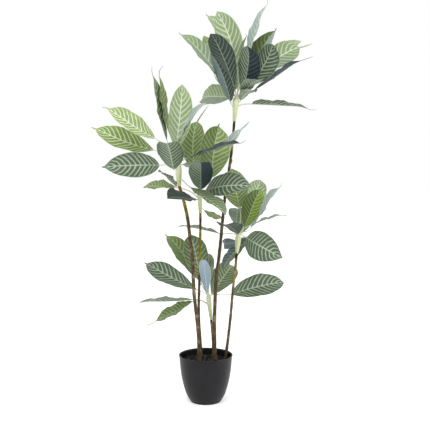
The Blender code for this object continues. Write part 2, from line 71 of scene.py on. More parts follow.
SOIL_LEVEL = 0.168
SOIL_MOUND = 0.004
SOIL_FLAT_RADIUS = 0.05
SOIL_RINGS = 14
SOIL_SIDES = 72
SOIL_BUMP = 0.0012
SOIL_DEPTH = 0.02
GRANULES = 1700
GRANULE_RADII = (0.0012, 0.0034)
GRANULE_SINK = 0.3
SEED = 11

CANE_SIDES = 20
CANE_STEP = 0.005
CANE_RING_SPACING = 0.034
CANE_RING_HEIGHT = 0.0006
CANE_LUMP = 0.0008
CANE_LUMP_SCALE = 45.0
FOOT_FLARE = 0.25
FOOT_FLARE_HEIGHT = 0.05

SHEATH_SIDES = 30
SHEATH_STEPS = 18
SHEATH_TIP = 0.012
SHEATH_WIDEST = 0.55
SHEATH_SHOULDER = 0.85
SHEATH_CLOSING = 0.6
SHEATH_LOBES = 5
SHEATH_LOBE_DEPTH = 0.09

STALK_SIDES = 8
STALK_STEPS = 16
STALK_RADIUS = 0.0026
STALK_END_RADIUS = 0.0016
STALK_RISE = 0.35
STALK_RUN_IN = 0.4
MIDRIB_STEPS = 16
MIDRIB_REACH = 0.93
MIDRIB_TIP_RADIUS = 0.0004

BLADE_STEPS = 72
BLADE_COLUMNS = (0.05, 0.12, 0.24, 0.38, 0.54, 0.7, 0.84, 0.94, 1.0)
BLADE_THICKNESS = 0.0009
BASE_HALF_WIDTH = 0.002
TIP_HALF_WIDTH = 0.0008
WAVE_HEIGHT = 0.0035
WAVES = 2.6
WAVE_LAG = 1.3
LEAF_LAG = 2.4
RUFFLE_HEIGHT = 0.0012
RUFFLES = 7.3
BASE_FULLNESS = 0.65
TIP_FULLNESS = 0.5
TIP_NARROWING = 0.85
TIP_POWER = 13
BOW_PULL = 0.75
CURL_START = 0.75
HEADING_STEP = 0.01
# A drip tip is the thin thread past the end of some blades, whose share of the length goes on from 1 to 2.
DRIP_STEPS = 10
DRIP_PULL = 0.5
DRIP_HALF_WIDTH = 0.0034
FOLD_ROUNDING = 0.1
VEIN_PAIRS = 11.0
VEIN_LEAN = 0.2
VEIN_BEND = 1.25
VEIN_RELIEF = 0.0008

FLOOR_SIZE = 30.0
FLOOR_GLOW = 0.3


def shade(red, green, blue):
    """A colour given as it looks on a screen, from 0 to 255, in the linear values that shaders take."""
    return tuple((level / 255.0) ** 2.2 for level in (red, green, blue))


class Tone(NamedTuple):
    """Colours of a leaf between its veins, on its veins and at its tip, with the leaf's light and shade painted in.

    veins is how strongly the veins show at the base, and fading how much of that is lost by the tip.
    """

    body: tuple
    vein: tuple
    tip: tuple
    veins: float
    fading: float = 0.0


# Leaf tones are partly the leaves' own greens and partly painted light and shade. The dark tones (ink, deep, dark) are
# painted shade on leaves that turn their undersides to the front. The bright, fresh and light tones are painted light
# on leaves lit from above, and the pale blue-grey tone is a painted sheen of light on upper sides.
TONES = {
    "ink": Tone(shade(40, 52, 58), shade(98, 114, 118), shade(36, 46, 54), 0.6, 0.6),
    "deep": Tone(shade(46, 58, 50), shade(118, 134, 120), shade(42, 54, 50), 0.75, 0.5),
    "dark": Tone(shade(68, 84, 64), shade(165, 180, 155), shade(66, 82, 64), 0.85),
    "slate": Tone(shade(84, 98, 102), shade(150, 164, 164), shade(88, 102, 108), 0.5),
    "blue": Tone(shade(126, 140, 158), shade(172, 186, 198), shade(138, 152, 168), 0.4),
    "grey": Tone(shade(106, 120, 102), shade(184, 195, 176), shade(102, 118, 98), 0.7),
    "moss": Tone(shade(76, 96, 46), shade(140, 156, 104), shade(74, 94, 46), 0.6),
    "mid": Tone(shade(86, 102, 72), shade(172, 186, 152), shade(88, 106, 70), 0.75),
    "olive": Tone(shade(104, 124, 70), shade(178, 192, 146), shade(104, 124, 66), 0.7),
    "sage": Tone(shade(120, 136, 122), shade(186, 198, 180), shade(114, 134, 84), 0.6),
    "light": Tone(shade(130, 147, 110), shade(200, 210, 186), shade(124, 142, 98), 0.7),
    "fresh": Tone(shade(110, 136, 66), shade(206, 217, 178), shade(112, 136, 66), 0.85),
    "bright": Tone(shade(138, 158, 92), shade(222, 229, 204), shade(136, 158, 92), 0.9),
    "lime": Tone(shade(102, 126, 40), shade(176, 194, 122), shade(104, 128, 44), 0.6),
    "frost": Tone(shade(146, 160, 154), shade(204, 212, 206), shade(146, 160, 156), 0.5),
}

STALK_COLOUR = shade(205, 211, 184)
SHEATH_COLOUR = shade(184, 192, 140)
BROWN_BARK = shade(88, 74, 54)
OLIVE_BARK = shade(132, 122, 34)
RED_BARK = shade(62, 34, 26)
RUST_BARK = shade(140, 78, 30)
BLACK_BARK = shade(34, 28, 20)
POT_COLOUR = shade(17, 17, 20)


class Leaf(NamedTuple):
    """A leaf, in centimetres right, up and back from its shoot's crown.

    face is how far the upper side is turned from the viewpoint, in degrees, about the leaf's own length:
    0 shows it square on, 90 turns it to the leaf's right, 180 shows the underside. With None it faces upward.
    bow lifts the middle towards the upper side, sway moves it to the leaf's right, curl bends the tip under.
    fold is how far each half stands up from flat, and twist how far the blade turns from base to tip, both in
    degrees. root is the share of the sheath's height where the stalk leaves it, and belly the share of the
    blade's length where it is widest. drip goes from the blade's tip to the end of its thin drip tip, if any.
    """

    base: tuple
    tip: tuple
    width: float = 9.6
    face: float | None = None
    bow: float = 1.2
    sway: float = 0.0
    curl: float = 1.0
    fold: float = 16.0
    root: float = 0.8
    belly: float = 0.54
    twist: float = 0.0
    drip: tuple = ()


class Shoot(NamedTuple):
    """A cane and the shoot on it. Points are (right, up, back) in centimetres, radii are in centimetres."""

    name: str
    cane: tuple
    cane_radii: tuple
    sheath_top: tuple
    sheath_radii: tuple
    crown: tuple
    leaves: tuple


# The colours of each cane from its top down, each with how far below the top it ends. Brown follows.
BARKS = {
    "tall": ((0.034, RED_BARK), (0.088, BROWN_BARK), (0.118, OLIVE_BARK)),
    "left": ((0.02, RUST_BARK), (0.03, RED_BARK), (0.125, OLIVE_BARK)),
    "middle": ((0.04, RED_BARK), (0.065, BROWN_BARK), (0.25, OLIVE_BARK)),
    "right": ((0.026, BLACK_BARK), (0.13, OLIVE_BARK)),
    "low": ((0.012, RED_BARK), (0.05, OLIVE_BARK)),
}
BARK_BLEND = 0.012

TALL_LEAVES = (
    Leaf((-0.9, 4.0, -4), (-9.8, 24.4, -17), 9.6, face=150, twist=50),
    Leaf((-2.1, -2.6, -1), (-9.4, 16.4, -7), 10.0, face=136, root=0.35),
    Leaf((-5.5, 5.6, 1), (-21.4, 24.2, 8), 9.6, face=50, fold=22, drip=(-1.0, 0.5, 0)),
    Leaf((0.8, 7.5, 3), (-7.7, 32.8, 8), 10.8, face=-8, sway=1.8),
    Leaf((0.8, 16.8, 8), (-11.0, 31.3, 14), 7.0, face=35, drip=(-0.8, 0.4, 0)),
    Leaf((-8.6, 8.6, 9), (-12.4, 23.6, 14), 5.6, face=20),
    Leaf((2.5, 1.2, -3), (4.9, 19.6, -20), 10.4, face=155, sway=-0.5),
    Leaf((5.9, 4.2, -2), (14.8, 20.2, -15), 10.2, face=165, sway=-0.6),
    Leaf((4.0, 10.8, 2), (11.4, 35.4, 3), 9.0, face=-70, bow=0.5, drip=(0.7, 1.6, 0)),
    Leaf((3.2, 5.0, -1), (3.2, 22.8, -2), 5.6, face=-108, bow=0.4, drip=(0.5, 0.8, 0)),
    Leaf((3.5, 3.9, 1), (15.1, 25.6, 8), 9.6, face=-38, fold=24, drip=(0.7, 0.8, 0)),
    Leaf((7.1, 4.6, 2), (25.2, 19.0, 9), 11.0, face=-20, sway=-1.6, belly=0.7, drip=(4.9, 1.0, 1)),
    Leaf((10.0, 11.6, 9), (25.8, 21.6, 15), 5.2, face=-30),
    Leaf((7.4, 2.0, -1), (25.2, 14.2, -4), 8.6, face=-104, bow=-0.4, drip=(5.0, 0.8, 0)),
    Leaf((2.2, -0.4, -3), (9.8, 6.4, -20), 7.0, face=-130),
    Leaf((1.8, -2.2, -1), (7.8, 2.0, -14), 6.0, root=0.6),
    Leaf((6.4, -3.5, -1), (28.9, -4.6, -2), 10.4, face=-80, bow=0.0, root=0.45, belly=0.3, drip=(3, -1, 0)),
    Leaf((-2.2, -1.0, 4), (-14.0, -1.2, 20), 10.8, face=32, fold=22, root=0.6, belly=0.44),
    Leaf((1.0, 2.0, 5), (3.0, 12.0, 27), 9.4),
    Leaf((-1.0, 1.0, 5), (-6.0, 9.0, 26), 9.4),
)

LEFT_LEAVES = (
    Leaf((-9.1, 9.8, -2), (-27.4, 21.9, -6), 9.2, face=30, bow=0.3, sway=-0.8, fold=30, drip=(-2.6, 0, 0)),
    Leaf((-9.7, 5.2, 1), (-32.6, 14.0, 2), 10.0, face=30, bow=0.3, sway=-1.2, fold=20, drip=(-1.8, 0.2, 0)),
    Leaf((-7.4, -0.8, -4), (-29.2, -1.4, -15), 10.2, face=10, belly=0.5, drip=(-1.0, 0.0, 0)),
    Leaf((-0.8, 5.2, 2), (2.0, 31.2, 5), 9.8, face=10),
    Leaf((-1.8, -2.4, -4), (-4.8, 9.4, -26), 10.6, curl=2.0, belly=0.44),
    Leaf((-4.4, 9.2, 3), (-9.0, 35.0, 4), 9.4, face=72, bow=-1.2, drip=(-1.0, 3.0, 0)),
    Leaf((-2.8, 10.3, 6), (-6.4, 34.6, 9), 8.0, face=70, bow=-1.6, drip=(0.8, 3.6, 0)),
    Leaf((-0.4, 6.4, -2), (10.5, 24.2, -16), 8.4, face=-80, bow=0.6),
    Leaf((4.6, 2.2, -4), (24.3, 8.8, -16), 8.2, face=-80, bow=-0.2, drip=(2.6, 0.5, 0)),
    Leaf((-0.8, -9.4, -1), (-7.4, -2.7, 12), 6.0, face=72, bow=0.2, root=0.17),
    Leaf((4.9, -9.6, -8), (19.4, -19.8, -20), 9.4, face=-65, bow=0.1, root=0.17),
    Leaf((1.6, -0.6, -1), (9.6, -2.6, -6), 8.4, face=-68, bow=0.4),
    Leaf((-1.5, 0.6, 4), (-5.0, 2.6, 27), 9.4),
)

MIDDLE_LEAVES = (
    Leaf((4.8, 4.2, -1), (7.8, 24.8, 4), 13.2, face=15, sway=-1.0, fold=20, belly=0.5, drip=(0.1, 0.9, 0)),
    Leaf((0.6, -0.6, -4), (0.4, 11.0, -27), 9.8, belly=0.44),
    Leaf((-1.6, 6.6, 3), (-0.9, 26.8, 13), 10.2, face=-10, sway=-1.2, drip=(4.6, 5.9, 1)),
    Leaf((1.5, 5.0, 6), (6.4, 21.0, 16), 8.0, face=-10),
    Leaf((9.8, 14.4, 4), (16.6, 23.6, -1), 4.0, face=-20, belly=0.4, drip=(3.2, 2.8, 0)),
    Leaf((2.4, -1.0, -3), (20.2, 1.0, -19), 11.0, face=-35, bow=1.6, belly=0.5),
    Leaf((-0.8, -4.6, -3), (-12.4, -3.4, -20), 9.8, face=64, bow=0.2, root=0.5, belly=0.66),
    Leaf((-9.2, 0.2, 6), (-22.2, 0.8, 20), 8.2, face=60, bow=0.2, curl=0.3, root=0.3, belly=0.66),
    Leaf((1.8, -8.8, 3), (8.8, -12.2, 14), 3.2, face=35, bow=0.2, curl=0.0, root=0.17),
    Leaf((0.5, 2.0, 5), (1.0, 9.0, 27), 9.4),
)

RIGHT_LEAVES = (
    Leaf((2.2, 3.0, -1), (8.4, 18.4, -2), 8.8, face=-10, bow=1.2, curl=1.6, belly=0.6),
    Leaf((0.2, 10.8, 1), (-3.0, 26.4, 0), 10.4, face=0, bow=0.8),
    Leaf((-1.0, 4.0, 2), (-0.6, 11.2, 10), 7.2),
    Leaf((4.6, 2.6, -3), (15.1, 19.2, -10), 9.0, face=-70, bow=-0.2, drip=(1.8, 1.6, 0)),
    Leaf((6.0, 4.4, 4), (18.9, 8.4, 22), 3.8, bow=0.4),
    Leaf((3.0, -1.2, -4), (16.8, -9.0, -22), 11.4, face=5, fold=12, belly=0.5),
    Leaf((-0.6, 0.2, -4), (-6.9, 4.2, -25), 9.6),
    Leaf((-0.5, -2.8, 1), (-6.6, -3.8, 10), 4.6, face=0, belly=0.5),
    Leaf((4.0, -1.6, 2), (-7.2, -14.4, 11), 7.0, face=46, root=0.6, belly=0.4),
    Leaf((-8.0, 0.6, 4), (-24.6, 4.0, 20), 6.5, bow=0.2, root=0.7),
    Leaf((2.4, 4.5, 5), (8.6, 22.5, 18), 9.0, face=0, belly=0.62),
    Leaf((1.5, 1.0, 4), (3.0, 9.0, 26), 9.4),
)

LOW_LEAVES = (
    Leaf((9.5, -1.2, 4), (30.7, 3.8, 13), 10.6, face=-25, belly=0.5),
    Leaf((1.4, -1.4, 2), (9.9, 11.0, 21), 10.4, face=-10),
    Leaf((-4.3, 4.9, 5), (-16.5, 22.9, 15), 10.0, face=38, drip=(-0.8, 0.9, 0)),
    Leaf((-3.0, 3.7, 3), (-7.1, 23.2, 12), 10.6, face=10),
    Leaf((0.0, 4.0, 2), (-0.4, 15.8, 14), 5.5),
    Leaf((-0.6, -1.2, -2), (-2.3, 13.6, -20), 4.6),
    Leaf((-4.6, 0.6, 4), (-25.2, 11.6, 14), 9.2, face=25, bow=0.4, sway=-0.8, belly=0.6, drip=(-0.8, 0.1, 0)),
    Leaf((-6.3, -3.5, 4), (-28.6, -4.2, 6), 8.8, face=80, bow=-0.4, root=0.4, drip=(-3.3, -1.6, 0)),
    Leaf((-6.4, -4.3, 3), (-22.0, -11.9, 10), 9.6, face=62, bow=-0.8, root=0.4, drip=(-5.2, -1.9, 0)),
)

# The tone of each leaf in the order above, or of its left half and its right half. Where a leaf has two, one half is
# painted lit and the other painted in shade.
LEAF_TONES = {
    "tall": (
        "deep", "deep/slate", "sage", "light", "light", "olive", "ink/dark", "dark", "frost", "mid",
        "moss/frost", "light/sage", "light", "slate/ink", "grey", "grey", "dark", "grey/light", "mid", "mid",
    ),
    "left": (
        "bright", "fresh", "dark", "light", "dark", "mid", "olive", "frost/dark", "ink/slate", "dark", "mid",
        "grey", "mid",
    ),
    "middle": ("moss/olive", "ink/dark", "olive", "mid", "frost", "dark", "deep", "olive", "olive", "mid"),
    "right": (
        "moss/lime", "olive", "grey", "frost", "grey", "dark", "deep", "slate", "mid/slate", "grey", "light",
        "mid",
    ),
    "low": ("dark", "mid", "olive", "mid", "light", "blue", "dark", "grey", "olive"),
}

SHOOTS = (
    Shoot(
        "tall",
        ((3.6, 17.0, 0.8), (3.5, 30.7, 1.2), (3.9, 43.8, 2), (4.5, 52.3, 2.6), (5.5, 60.0, 3.2),
         (6.8, 73.7, 4.4), (7.8, 83.3, 5.2), (9.5, 94.9, 6.2), (10.5, 102.5, 6.8), (11.4, 112.9, 7.6)),
        (0.8, 0.5),
        (12.2, 122.3, 8.2),
        (0.65, 1.1, 1.3),
        (12.0, 123.2, 8),
        TALL_LEAVES,
    ),
    Shoot(
        "left",
        ((-2.7, 16.7, -1.5), (-2.9, 26.6, -2), (-4.2, 39.3, -2), (-4.8, 45.8, -2), (-5.3, 57.3, -2),
         (-6.0, 63.8, -2), (-7.0, 72.9, -2), (-8.5, 80.5, -2.5), (-10.5, 87.3, -3)),
        (0.7, 0.65),
        (-10.8, 96.3, -3),
        (0.7, 1.2, 1.0),
        (-11.0, 96.4, -3),
        LEFT_LEAVES,
    ),
    Shoot(
        "middle",
        ((-1.7, 17.4, 2), (-2.6, 31.1, 1.8), (-2.8, 39.3, 1.6), (-2.6, 47.0, 1.5), (-2.3, 61.2, 1.2),
         (-2.1, 70.1, 1), (-2.1, 76.5, 1)),
        (0.55, 0.5),
        (-2.4, 86.5, 1),
        (0.6, 1.0, 1.1),
        (-2.4, 86.5, 1),
        MIDDLE_LEAVES,
    ),
    Shoot(
        "right",
        ((8.1, 17.9, 4), (9.1, 25.8, 3.5), (10.1, 35.0, 3), (10.8, 43.4, 3), (11.4, 49.5, 3), (12.0, 55.0, 3),
         (12.5, 60.3, 3)),
        (0.55, 0.5),
        (13.3, 68.9, 3),
        (0.6, 1.2, 1.0),
        (13.4, 67.7, 3),
        RIGHT_LEAVES,
    ),
    Shoot(
        "low",
        ((3.1, 18.1, 5), (2.9, 25.0, 4.5), (2.2, 33.3, 4)),
        (0.5, 0.45),
        (1.1, 43.6, 4),
        (0.55, 0.9, 1.0),
        (1.1, 45.0, 4),
        LOW_LEAVES,
    ),
)

# The bud on the tall cane: where it starts and ends, right, up and back in centimetres.
BUD = ((9.4, 95.2, 6), (10.6, 97.8, 5.6))
BUD_RADIUS = 0.0045
BUD_SIDES = 14
BUD_STEPS = 8


def seen(right, up, back):
    """The point that looks to be right and up of the pot's foot, pushed back along the line of sight."""
    in_axis_plane = Vector((right * CM, 0.0, up * CM))
    return VIEWPOINT + (in_axis_plane - VIEWPOINT) * (1.0 - back * CM / VIEWPOINT.y)


def from_crown(shoot, offset):
    """A point given by its offset from the shoot's crown."""
    return seen(*(c + o for c, o in zip(shoot.crown, offset)))


def smooth_between(a, b, c, d, share):
    """A point of the smooth curve through b and c, with a before it and d after it."""
    return 0.5 * (
        2.0 * b
        + (c - a) * share
        + (2.0 * a - 5.0 * b + 4.0 * c - d) * share**2
        + (3.0 * b - a - 3.0 * c + d) * share**3
    )


def smooth_path(points, step):
    """Points about a step apart on a smooth curve through the given points."""
    path = [points[0]]
    for i in range(len(points) - 1):
        before = points[max(i - 1, 0)]
        after = points[min(i + 2, len(points) - 1)]
        count = max(1, round((points[i + 1] - points[i]).length / step))
        for k in range(1, count + 1):
            path.append(smooth_between(before, points[i], points[i + 1], after, k / count))
    return path


def bezier(a, b, c, d, share):
    """A point of the cubic curve from a to d that b and c pull on."""
    rest = 1.0 - share
    return a * rest**3 + b * (3.0 * rest**2 * share) + c * (3.0 * rest * share**2) + d * share**3


def directions(path):
    """The direction of a path at each of its points."""
    last = len(path) - 1
    return [(path[min(i + 1, last)] - path[max(i - 1, 0)]).normalized() for i in range(last + 1)]


def square_to(direction, hint):
    """The part of the hint that is square to the direction, as a unit vector."""
    return (hint - direction * hint.dot(direction)).normalized()


class Shell:
    """A mesh in the making: points with named values on them, and faces with a material number."""

    def __init__(self):
        self.points = []
        self.faces = []
        self.slots = []
        self.values = {}

    def add_point(self, point, **values):
        for name, value in values.items():
            self.values.setdefault(name, {})[len(self.points)] = value
        self.points.append(point)
        return len(self.points) - 1

    def add_face(self, corners, slot=0):
        self.faces.append(corners)
        self.slots.append(slot)

    def add_rings(self, rings, slot=0, capped=True):
        """Faces between neighbouring rings of points, with flat ends."""
        for lower, upper in zip(rings, rings[1:]):
            for k in range(len(lower)):
                n = (k + 1) % len(lower)
                self.add_face((lower[k], lower[n], upper[n], upper[k]), slot)
        if capped:
            self.add_face(tuple(reversed(rings[0])), slot)
            self.add_face(tuple(rings[-1]), slot)

    def build(self, name, materials, sharp_degrees=50):
        """The finished object, with its values as attributes and its faces turned outward."""
        mesh = bpy.data.meshes.new(name)
        mesh.from_pydata(self.points, [], self.faces)
        for surface in materials:
            mesh.materials.append(surface)
        mesh.polygons.foreach_set("material_index", self.slots)
        for title, given in self.values.items():
            sample = next(iter(given.values()))
            colour = isinstance(sample, tuple)
            kind, field, blank = ("FLOAT_COLOR", "color", (0.0,) * 4) if colour else ("FLOAT", "value", 0.0)
            attribute = mesh.attributes.new(title, kind, "POINT")
            flat = []
            for i in range(len(self.points)):
                value = given.get(i, blank)
                flat += (*value[:3], 1.0) if colour else (value,)
            attribute.data.foreach_set(field, flat)
        bm = bmesh.new()
        bm.from_mesh(mesh)
        bmesh.ops.recalc_face_normals(bm, faces=bm.faces)
        bm.to_mesh(mesh)
        bm.free()
        mesh.shade_smooth()
        mesh.set_sharp_from_angle(angle=math.radians(sharp_degrees))
        made = bpy.data.objects.new(name, mesh)
        bpy.context.scene.collection.objects.link(made)
        return made


def ring(shell, centre, direction, radius, sides, hint=FORWARD, **values):
    """Points evenly round a centre, square to a direction. radius may be a function of the turn."""
    first = square_to(direction, hint)
    second = direction.cross(first)
    made = []
    for k in range(sides):
        turn = 2.0 * math.pi * k / sides
        reach = radius(turn) if callable(radius) else radius
        point = centre + (first * math.cos(turn) + second * math.sin(turn)) * reach
        made.append(shell.add_point(point, **values))
    return made


def between(low, high, share):
    return low + (high - low) * share


def mixed(first, second, share):
    """A colour part of the way between two."""
    return tuple(between(a, b, share) for a, b in zip(first, second))


def smooth_step(low, high, value):
    share = min(1.0, max(0.0, (value - low) / (high - low)))
    return share * share * (3.0 - 2.0 * share)


# Leaves


def outline(share, belly):
    """The half width along a blade, as a share of its greatest half width, which is at belly."""
    swell = math.sin(math.pi * share ** (math.log(0.5) / math.log(belly)))
    fullness = between(BASE_FULLNESS, TIP_FULLNESS, share)
    return max(0.0, swell) ** fullness * (1.0 - TIP_NARROWING * share**TIP_POWER)


def wave(share, side, phase):
    """The height of the waved margin along a blade."""
    swing = 2.0 * math.pi * WAVES * share + phase + WAVE_LAG * side
    ruffle = 2.0 * math.pi * RUFFLES * share + phase * 2.0 + side
    height = WAVE_HEIGHT * math.sin(swing) + RUFFLE_HEIGHT * math.sin(ruffle) * side**2
    return height * math.sin(math.pi * share)


def vein_count(share, side):
    """How many side veins lie between the leaf's base and this place."""
    return (share - VEIN_LEAN * abs(side) ** VEIN_BEND) * VEIN_PAIRS


def relief(share, side):
    """How far the blade swells between its side veins."""
    swell = 0.5 - 0.5 * math.cos(2.0 * math.pi * vein_count(share, side))
    return VEIN_RELIEF * swell * math.sin(math.pi * min(1.0, abs(side) * 1.1)) * math.sin(math.pi * share)


class Blade:
    """The middle surface of a leaf's blade."""

    def __init__(self, shoot, leaf, number):
        self.base = from_crown(shoot, leaf.base)
        self.tip = from_crown(shoot, leaf.tip)
        self.along = (self.tip - self.base).normalized()
        self.normal = self.facing(leaf.face)
        self.across = self.along.cross(self.normal)
        self.leaf = leaf
        self.phase = LEAF_LAG * number
        self.last = 2.0 if leaf.drip else 1.0
        self.end = from_crown(shoot, [t + d for t, d in zip(leaf.tip, leaf.drip or (0, 0, 0))])

    def facing(self, face):
        """The direction that the upper side faces."""
        if face is None:
            return square_to(self.along, UP)
        toward = square_to(self.along, VIEWPOINT - (self.base + self.tip) / 2.0)
        turn = math.radians(face)
        return toward * math.cos(turn) + self.along.cross(toward) * math.sin(turn)

    def rib(self, share):
        """A point of the midrib, or of the drip tip when the share is over 1."""
        if share > 1.0:
            return self.drip(share - 1.0)
        pull = (self.normal * self.leaf.bow + self.across * self.leaf.sway) * CM / BOW_PULL
        third = (self.tip - self.base) / 3.0
        point = bezier(self.base, self.base + third + pull, self.tip - third + pull, self.tip, share)
        curled = max(0.0, (share - CURL_START) / (1.0 - CURL_START)) ** 2
        return point - self.normal * (self.leaf.curl * CM * curled)

    def drip(self, share):
        """A point of the drip tip, which leaves the blade the way the midrib was going."""
        start = self.rib(1.0)
        onward = (start - self.rib(1.0 - HEADING_STEP)).normalized()
        middle = start + onward * (DRIP_PULL * (self.end - start).length)
        return start * (1.0 - share) ** 2 + middle * (2.0 * share * (1.0 - share)) + self.end * share**2

    def heading(self, share):
        """The direction of the midrib."""
        after = self.rib(min(share + HEADING_STEP, self.last))
        before = self.rib(max(share - HEADING_STEP, 0.0))
        return (after - before).normalized()

    def half_width(self, share):
        """Half the blade's width, never under that of the stalk it starts from or the thin tip it ends in."""
        if share > 1.0:
            return between(DRIP_HALF_WIDTH, TIP_HALF_WIDTH, (share - 1.0) ** 2)
        end = DRIP_HALF_WIDTH if self.leaf.drip else TIP_HALF_WIDTH
        least = between(BASE_HALF_WIDTH, end, share)
        return max(self.leaf.width * CM / 2.0 * outline(share, self.leaf.belly), least)

    def row(self, share):
        """The midrib's point, the upward and sideways directions there, and half the blade's width."""
        heading = self.heading(share)
        turn = math.radians(self.leaf.twist * (min(share, 1.0) - 0.5))
        normal = square_to(heading, self.normal * math.cos(turn) + self.across * math.sin(turn))
        return self.rib(share), normal, heading.cross(normal), self.half_width(share)

    def point(self, row, share, side):
        """A point of the middle surface, with side from -1 at the left margin to 1 at the right one."""
        centre, normal, across, half = row
        fold = math.radians(self.leaf.fold)
        rounded = math.sqrt(side**2 + FOLD_ROUNDING**2) - FOLD_ROUNDING
        lift = half * rounded * math.sin(fold)
        if share < 1.0:
            lift += wave(share, side, self.phase) * side**2 + relief(share, side)
        return centre + across * (half * side * math.cos(fold)) + normal * lift


def add_blade(shell, blade, tones):
    """A thin closed blade: two faces that meet at the margins, with the values that its shader reads."""
    sides = [-c for c in reversed(BLADE_COLUMNS)] + [0.0] + list(BLADE_COLUMNS)
    shares = [i / BLADE_STEPS for i in range(BLADE_STEPS + 1)]
    if blade.leaf.drip:
        shares += [1.0 + (i + 1) / DRIP_STEPS for i in range(DRIP_STEPS)]
    rows = []
    for share in shares:
        frame = blade.row(share)
        along = min(share, 1.0)
        upper = []
        lower = []
        for side in sides:
            middle = blade.point(frame, share, side)
            # Each half takes its own tone: where a leaf has two, one half is painted lit and the other painted in
            # shade.
            tone = tones[side > 0.0]
            values = {
                "along": along,
                "across": side,
                "body": mixed(tone.body, tone.tip, along),
                "vein": tone.vein,
                "veins": tone.veins * (1.0 - tone.fading * along),
            }
            if abs(side) == 1.0:
                index = shell.add_point(middle, **values)
                upper.append(index)
                lower.append(index)
                continue
            half = frame[1] * (BLADE_THICKNESS / 2.0 * (1.0 - side**4))
            upper.append(shell.add_point(middle + half, **values))
            lower.append(shell.add_point(middle - half, **values))
        rows.append((upper, lower))
    for (upper, lower), (next_upper, next_lower) in zip(rows, rows[1:]):
        for j in range(len(sides) - 1):
            shell.add_face((upper[j], upper[j + 1], next_upper[j + 1], next_upper[j]))
            shell.add_face((lower[j + 1], lower[j], next_lower[j], next_lower[j + 1]))
    for upper, lower in (rows[0], rows[-1]):
        shell.add_face(tuple(upper + list(reversed(lower[1:-1]))))


def add_stalk(shell, shoot, blade, tone):
    """A leaf's stalk, from inside the sheath to the blade, and on along the blade as its midrib."""
    bottom, axis, length = sheath_axis(shoot)
    root = bottom + axis * (length * blade.leaf.root)
    reach = (blade.base - root).length
    outward = blade.base - blade.heading(0.0) * (STALK_RUN_IN * reach)
    risen = root + axis * (STALK_RISE * reach)
    path = [bezier(root, risen, outward, blade.base, k / STALK_STEPS) for k in range(STALK_STEPS + 1)]
    radii = [between(STALK_RADIUS, STALK_END_RADIUS, k / STALK_STEPS) for k in range(STALK_STEPS + 1)]
    for k in range(1, MIDRIB_STEPS + 1):
        share = k / MIDRIB_STEPS
        path.append(blade.rib(share * MIDRIB_REACH))
        radii.append(between(STALK_END_RADIUS * 0.75, MIDRIB_TIP_RADIUS, share))
    tint = mixed(STALK_COLOUR, tone.vein, 0.7)
    rings = []
    for k, (point, direction, radius) in enumerate(zip(path, directions(path), radii)):
        colour = STALK_COLOUR if k < STALK_STEPS - 2 else tint
        rings.append(ring(shell, point, direction, radius, STALK_SIDES, blade.normal, tint=colour))
    shell.add_rings(rings)


def sheath_axis(shoot):
    """The middle of the sheath's lower end, the direction to its top and its length."""
    bottom = seen(*shoot.cane[-1])
    rise = seen(*shoot.sheath_top) - bottom
    return bottom, rise.normalized(), rise.length


def add_sheath(shell, shoot):
    """The pale funnel that the stalks grow from, with soft lobes where they clasp each other."""
    bottom, axis, length = sheath_axis(shoot)
    low, middle, high = (r * CM for r in shoot.sheath_radii)
    stops = (
        (low, 0.0),
        (middle, length * SHEATH_WIDEST),
        (high, length * SHEATH_SHOULDER),
        (high * SHEATH_CLOSING, length),
        (high * SHEATH_CLOSING * 0.3, length + SHEATH_TIP * 0.8),
    )
    outline_points = [Vector((radius, height, 0.0)) for radius, height in stops]
    curve = smooth_path(outline_points, length / SHEATH_STEPS)
    rings = []
    for radius, height, _ in curve:
        rise = min(1.0, height / length)

        def lobed(turn, radius=radius, rise=rise):
            return radius * (1.0 + SHEATH_LOBE_DEPTH * rise * math.cos(SHEATH_LOBES * turn + 3.0 * rise))

        colour = mixed(SHEATH_COLOUR, STALK_COLOUR, rise)
        rings.append(ring(shell, bottom + axis * height, axis, lobed, SHEATH_SIDES, tint=colour))
    shell.add_rings(rings)


def make_shoot(shoot, leaf_surface, stem_surface):
    """The blades of a shoot as one object, and its sheath, stalks and midribs as another."""
    blades = Shell()
    stems = Shell()
    add_sheath(stems, shoot)
    words = LEAF_TONES[shoot.name]
    for number, (leaf, word) in enumerate(zip(shoot.leaves, words, strict=True)):
        blade = Blade(shoot, leaf, number)
        # A leaf with one tone has it on both halves. A leaf with two has painted light on one half and painted shade on
        # the other.
        tones = [TONES[name] for name in word.split("/")] * 2
        add_blade(blades, blade, tones)
        add_stalk(stems, shoot, blade, tones[0])
    foliage = blades.build("leaves_" + shoot.name, [leaf_surface])
    stalks = stems.build("stems_" + shoot.name, [stem_surface])
    for made in (foliage, stalks):
        place(made, "leaf", "shoot_" + shoot.name)


def place(made, slot, *nodes):
    """Ties a piece to the object, and hides the solids that it stands for."""
    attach(made, "root")
    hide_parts(*nodes)


# Canes


def bark_colour(stops, below_top):
    """The colour of a cane at a distance below its top."""
    colour = stops[0][1]
    following = [after for _, after in stops[1:]] + [BROWN_BARK]
    for (end, _), after in zip(stops, following):
        colour = mixed(colour, after, smooth_step(end - BARK_BLEND / 2.0, end + BARK_BLEND / 2.0, below_top))
    return colour


